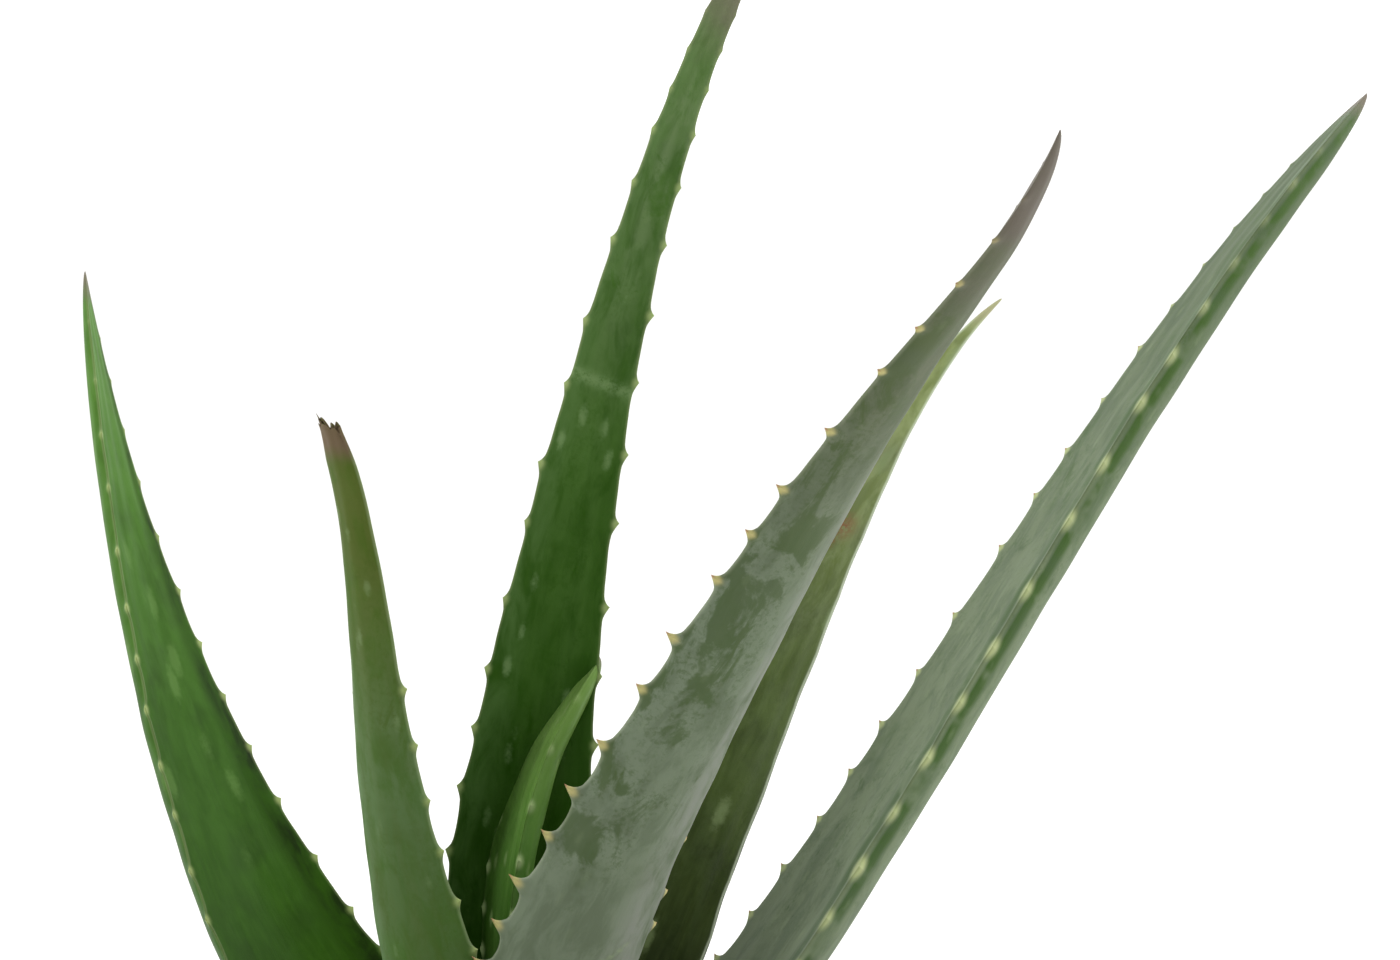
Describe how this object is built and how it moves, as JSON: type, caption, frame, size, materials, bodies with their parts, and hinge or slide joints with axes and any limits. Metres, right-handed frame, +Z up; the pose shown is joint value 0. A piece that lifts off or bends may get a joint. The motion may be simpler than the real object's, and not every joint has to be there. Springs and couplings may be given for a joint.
{
  "type": "potted aloe plant",
  "caption": "Aloe rosette of thick, channelled, toothed leaves in a plain round tapered terracotta pot with soil.",
  "frame": {"origin": "centre of the pot's flat underside, on the pot's axis", "axes": "+Z up along the pot's axis, which is also the longest extent; -Y towards the viewer, +X to the viewer's right"},
  "size_m": [0.3583, 0.2726, 0.4258],
  "materials": {
    "terracotta": "matte",
    "soil": "matte",
    "stem_skin": "matte",
    "leaf_green": "satin",
    "leaf_dark_green": "satin",
    "leaf_grey_green": "matte"
  },
  "bodies": {
    "root": {"pot": "terracotta", "soil": "soil", "stem": "stem_skin", "leaf_young_centre": "leaf_green", "leaf_tall_back": "leaf_green", "leaf_torn_tip": "leaf_green", "leaf_front": "leaf_grey_green", "leaf_right_inner": "leaf_dark_green", "leaf_far_left": "leaf_green", "leaf_far_right": "leaf_grey_green", "leaf_low_front": "leaf_grey_green", "leaf_low_right": "leaf_grey_green", "leaf_low_back_left": "leaf_green", "leaf_low_back_right": "leaf_green", "leaf_low_left": "leaf_green"}
  },
  "joints": []
}
